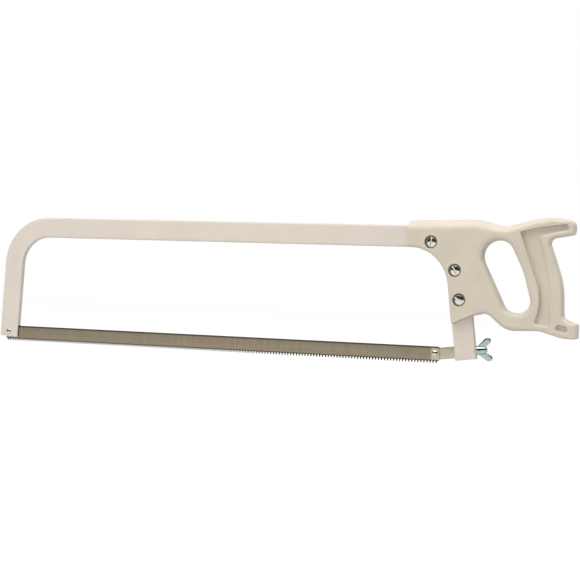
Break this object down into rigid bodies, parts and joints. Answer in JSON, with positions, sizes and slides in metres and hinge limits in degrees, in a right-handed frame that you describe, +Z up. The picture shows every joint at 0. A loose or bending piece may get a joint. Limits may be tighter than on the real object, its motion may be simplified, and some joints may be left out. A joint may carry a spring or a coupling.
{
  "type": "butcher saw",
  "caption": "Butcher's bow saw: a bent flat-tube frame with a moulded D-shaped handle, and a toothed steel blade drawn tight by a wing nut on a threaded draw bolt.",
  "frame": {"origin": "under the middle of the saw's length and thickness, level with the tips of the teeth", "axes": "+X from the nose of the bow towards the handle, +Y across the saw to the side of the handle nuts, +Z up from the teeth to the top bar"},
  "size_m": [0.7344, 0.022, 0.1697],
  "materials": {
    "painted_tube": "satin off-white paint on steel tube",
    "handle_plastic": "satin cream moulded plastic",
    "blade_steel": "rolled and lightly oiled spring steel",
    "strap_steel": "plated steel, dulled",
    "bright_zinc": "bright blue zinc plate",
    "zinc_plate": "bright zinc plate",
    "pin_steel": "bright turned steel"
  },
  "bodies": {
    "saw_frame": {"bow_frame": "painted_tube", "handle": "handle_plastic", "wing_nut_washer": "zinc_plate", "front_blade_pin": "pin_steel", "handle_screw_upper": "zinc_plate", "handle_screw_washer_upper": "zinc_plate", "handle_nut_upper": "zinc_plate", "handle_nut_washer_upper": "zinc_plate", "handle_screw_middle": "zinc_plate", "handle_screw_washer_middle": "zinc_plate", "handle_nut_middle": "zinc_plate", "handle_nut_washer_middle": "zinc_plate", "handle_screw_lower": "zinc_plate", "handle_screw_washer_lower": "zinc_plate", "handle_nut_lower": "zinc_plate", "handle_nut_washer_lower": "zinc_plate"},
    "drawn_blade": {"draw_bolt": "strap_steel", "rear_blade_pin": "pin_steel", "blade": "blade_steel"},
    "tension_nut": {"wing_nut": "bright_zinc"}
  },
  "joints": [
    {"name": "wing_nut_turn", "type": "hinge", "parent": "saw_frame", "child": "tension_nut", "pos_m": [0.25346, 0, 0.01696], "axis": [0.9914, 0, 0.1305], "range_deg": [0, 1712]},
    {"name": "draw_slide", "type": "slide", "parent": "saw_frame", "child": "drawn_blade", "axis": [0.9914, 0, 0.1305], "range_m": [-0.0038, 0]}
  ],
  "couplings": [
    {"joint": "wing_nut_turn", "follows": "draw_slide", "rad_per_m": -7854}
  ]
}
